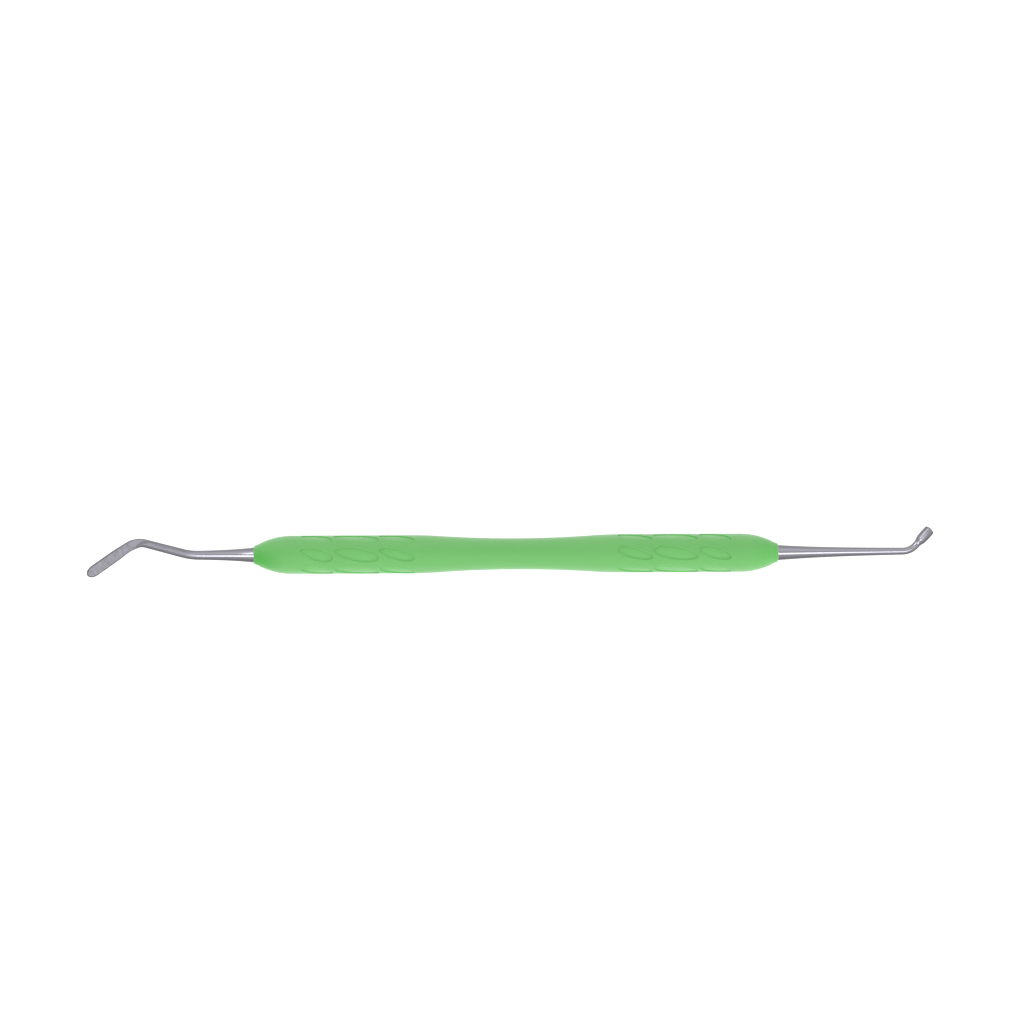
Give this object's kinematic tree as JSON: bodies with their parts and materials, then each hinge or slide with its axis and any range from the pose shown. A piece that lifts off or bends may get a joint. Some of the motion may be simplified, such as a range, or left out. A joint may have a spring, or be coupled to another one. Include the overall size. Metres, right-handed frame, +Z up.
{
  "type": "double-ended dental filling instrument",
  "caption": "Slim hand instrument with a waisted silicone grip, a bent flat spatula at one end and a small round condenser at the other.",
  "frame": {"origin": "under the middle of the instrument's outline, on the surface that it lies on", "axes": "+X along the handle towards the condenser, +Z up; the working ends are bent in the horizontal plane, and the condenser turns towards +Y"},
  "size_m": [0.1768, 0.0098, 0.008],
  "materials": {
    "silicone_grip": "satin moulded silicone",
    "drawn_steel": "drawn tube",
    "turned_steel": "turned",
    "ground_steel": "fine satin grind"
  },
  "bodies": {
    "root": {"grip_sleeve": "silicone_grip", "core_tube": "drawn_steel", "spatula_bush": "turned_steel", "condenser_bush": "turned_steel", "spatula_insert": "ground_steel", "condenser_insert": "ground_steel"}
  },
  "joints": []
}
